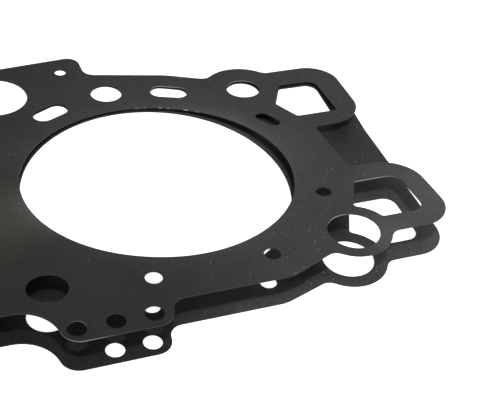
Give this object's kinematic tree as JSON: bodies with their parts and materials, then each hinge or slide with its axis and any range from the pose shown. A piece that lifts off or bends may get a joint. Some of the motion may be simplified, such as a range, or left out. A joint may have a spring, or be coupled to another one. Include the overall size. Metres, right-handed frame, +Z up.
{
  "type": "cylinder head gasket",
  "caption": "Layered sheet-steel head gasket with a large bore, bolt and fluid holes, windowed side ears and a front tab. The upper sheet springs up from the lower.",
  "frame": {"origin": "axis of the cylinder bore at the underside of the lower layer", "axes": "+X along the engine, +Y toward the rear edge, +Z up along the bore"},
  "size_m": [0.1717, 0.1703, 0.0137],
  "materials": {
    "upper_layer": "matt charcoal coating",
    "lower_layer": "matt charcoal coating"
  },
  "bodies": {
    "root": {"upper_layer": "upper_layer", "lower_layer": "lower_layer"}
  },
  "joints": []
}
